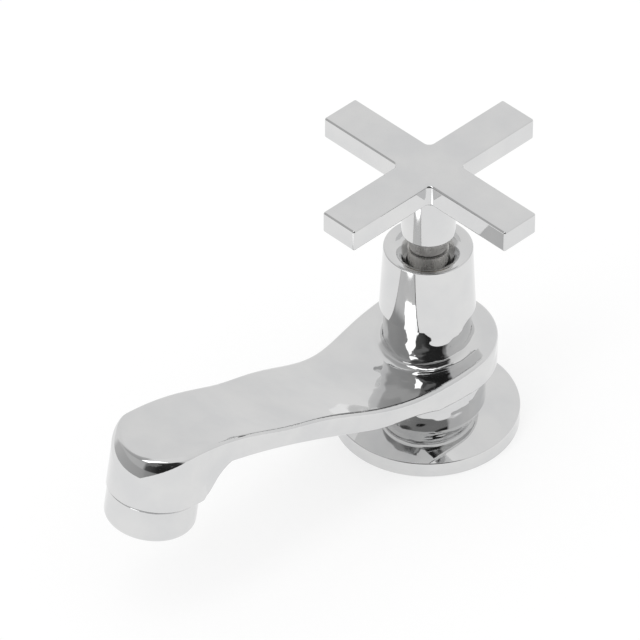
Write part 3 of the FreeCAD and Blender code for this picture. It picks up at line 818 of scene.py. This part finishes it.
def borrow_shading(mesh, surfaces):
    """Gives each corner the direction of the nearest surface that it came from."""
    directions = [Vector((0, 0, 1))] * len(mesh.loops)
    for face in mesh.polygons:
        found = []
        for tree, faces in surfaces:
            place, normal, index, distance = tree.find_nearest(face.center)
            mismatch = 1 - abs(normal.dot(face.normal))
            found.append((distance + millimetre * mismatch, normal.dot(face.normal), faces[index]))
        facing, (corners, normals) = min(found, key=lambda item: item[0])[1:]
        for loop in face.loop_indices:
            point = mesh.vertices[mesh.loops[loop].vertex_index].co
            weights = poly_3d_calc(corners, point)
            direction = sum((normal * weight for normal, weight in zip(normals, weights)),
                            Vector())
            directions[loop] = direction.normalized() * (1 if facing > 0 else -1)
        face.use_smooth = True
    mesh.normals_split_custom_set(directions)


merge_distance = 0.0005 * millimetre
solid = nodes["tap_body"].data
bm = bmesh.new()
bm.from_mesh(solid)
bmesh.ops.remove_doubles(bm, verts=bm.verts, dist=merge_distance)
print("open edges in the merged copy:", sum(edge.is_boundary for edge in bm.edges))
plain_mesh = bpy.data.meshes.new("cast_body")
bm.to_mesh(plain_mesh)
bm.free()
body = bpy.data.objects.new("cast_body", plain_mesh)
bpy.context.scene.collection.objects.link(body)
shape_with(body, flare_tool, "UNION")
shape_with(body, brow_tool, "DIFFERENCE")
borrow_shading(body.data, [surface_of(solid), surface_of(flare_tool.data),
                           surface_of(brow_tool.data)])
body.data.materials.clear()
body.data.materials.append(finishes["cast_chrome"])
for tool in (brow_tool, flare_tool):
    bpy.data.objects.remove(tool)
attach(body, "tap")
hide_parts("tap_body")
print("cast_body has", len(body.data.polygons), "faces")

# %% [markdown]
# ## The seals
#
# The black ring in the cover's mouth is the second dark line under the handle. In the CAD the
# seals have eight-sided sections. Rubber rings are round, and squeezed they turn into a
# rounded box, which is a superellipse. It is drawn once and spun round the axis. The ring in
# the mouth ends under the cover's lip.

# %% Rounded seals
seal_corners = 20
squeeze = 2.6                          # 2 is an ellipse, more is squarer


def rounded_section(inner, outer, low, high):
    """Points of a superellipse that fills the given radii and heights."""
    middle, level = (inner + outer) / 2, (low + high) / 2
    points = []
    for corner in range(seal_corners):
        angle = 2 * math.pi * (corner + 0.5) / seal_corners
        across, up = math.cos(angle), math.sin(angle)
        reach = (abs(across) ** squeeze + abs(up) ** squeeze) ** (-1 / squeeze)
        points.append((middle + across * reach * (outer - inner) / 2,
                       level + up * reach * (high - low) / 2))
    return points


def spun_seals(name, node, body, sections):
    bm = bmesh.new()
    for section in sections:
        spin_round(bm, rounded_section(*section), steps=72)
    return make_piece(name, bm, node, body)


low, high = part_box("cover_o_ring")
cover_ring_wall = 0.64 * millimetre
cover_ring_top = min(high[2], lip_bottom * millimetre)
spun_seals("mouth_seal", "cover_o_ring", "tap",
           [(high[0] - cover_ring_wall, high[0], low[2], cover_ring_top)])

low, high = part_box("spindle_o_rings")
stem_ring_wall = 0.895 * millimetre
stem_ring_height = 1.74 * millimetre
spun_seals("stem_seals", "spindle_o_rings", "handle",
           [(high[0] - stem_ring_wall, high[0], low[2], low[2] + stem_ring_height),
            (high[0] - stem_ring_wall, high[0], high[2] - stem_ring_height, high[2])])

# %% [markdown]
# ## The threaded tail
#
# Under the deck the tap is held by a nut on a half-inch pipe thread, 14 threads to the inch.
# The solid is a plain cylinder there. A screw could be spun with a rise of one pitch, but its
# start and end have to be trimmed and sewn up by hand. At this pitch the teeth slope by less
# than two degrees, so they are drawn as rings: one closed outline, bore and teeth together,
# spun once round. Where the nut and the body grip it, the tail keeps the plain middle radius
# of its solid.

# %% Thread outline
pitch = 25.4 / 14 * millimetre
crest = 20.955 / 2 * millimetre
tooth = 1.162 * millimetre
tail_bore = 6.8 * millimetre
end_chamfer = 1.0 * millimetre
grip_margin = 0.3 * pitch              # how far the plain part goes on past the nut
first_tooth = 0.1                      # where the first tooth starts, in pitches
tail_low, tail_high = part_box("tail_shank")
nut_low, nut_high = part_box("back_nut")
thread_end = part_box("base_flange")[1][2] - 0.5 * millimetre
tooth_shape = [(0.0, 0.0), (0.14, 0.10), (0.36, 0.90), (0.5, 1.0), (0.64, 0.90), (0.86, 0.10)]


def thread_radius(height, share):
    """Plain where the tail is gripped, toothed elsewhere."""
    in_nut = nut_low[2] - grip_margin <= height <= nut_high[2] + grip_margin
    in_body = height > thread_end - grip_margin
    if in_nut or in_body:
        return crest - tooth / 2
    return crest - tooth * (1 - share)


teeth = math.ceil((tail_high[2] - tail_low[2]) / pitch)
outline = [(tail_bore, tail_low[2]), (crest - end_chamfer, tail_low[2])]
for number in range(teeth):
    for place, share in tooth_shape:
        height = tail_low[2] + (number + first_tooth + place) * pitch
        room = crest - end_chamfer + (height - tail_low[2])
        if height < tail_high[2]:
            outline.append((min(thread_radius(height, share), room), height))
outline += [(outline[-1][0], tail_high[2]), (tail_bore, tail_high[2])]
print("outline points:", len(outline), "over", teeth, "teeth")

# %% Spin the tail
bm = bmesh.new()
spin_round(bm, outline, steps=96)
print("open edges left:", sum(edge.is_boundary for edge in bm.edges))
make_piece("threaded_tail", bm, "tail_shank", "tap")

# %% [markdown]
# ## The aerator's screens
#
# Two round screens lie on the honeycomb inside the aerator and can be seen from below through
# its cells. The solids are plain discs. A wave texture could paint a mesh on them, but wires
# that are really there also let light through. Each wire is a short four-sided bar. One layer
# lies on the other, and a pressed rim holds them.

# %% Screen helpers
screen_radius = 8.2 * millimetre
rim_width = 0.45 * millimetre
wire = 0.12 * millimetre
mesh_pitch = 0.5 * millimetre
screen_levels = (-8.5 * millimetre, -7.8 * millimetre)
screen_height = 0.25 * millimetre


def add_bar(bm, offset, level, turned):
    """One wire across the screen, cut to the chord at its offset from the middle."""
    half = math.sqrt((screen_radius - rim_width / 2) ** 2 - offset ** 2)
    place = (Matrix.Rotation(turned, 4, "Z") @ Matrix.Translation((0, offset, level))
             @ Matrix.Rotation(math.pi / 2, 4, "Y"))
    bmesh.ops.create_cone(bm, cap_ends=True, segments=4, radius1=wire / 2, radius2=wire / 2,
                          depth=2 * half, matrix=place)


# %% Screens
bm = bmesh.new()
rim_inner = screen_radius - rim_width
wires_each_side = int(rim_inner / mesh_pitch)
for base in screen_levels:
    for number in range(-wires_each_side, wires_each_side + 1):
        add_bar(bm, number * mesh_pitch, base + wire / 2, 0.0)
        add_bar(bm, number * mesh_pitch, base + screen_height - wire / 2, math.pi / 2)
    top = base + screen_height
    rim = [(rim_inner, base), (screen_radius, base), (screen_radius, top), (rim_inner, top)]
    spin_round(bm, rim, steps=72)
bmesh.ops.transform(bm, matrix=at_outlet, verts=bm.verts)
make_piece("woven_screens", bm, "aerator_screens", "tap")
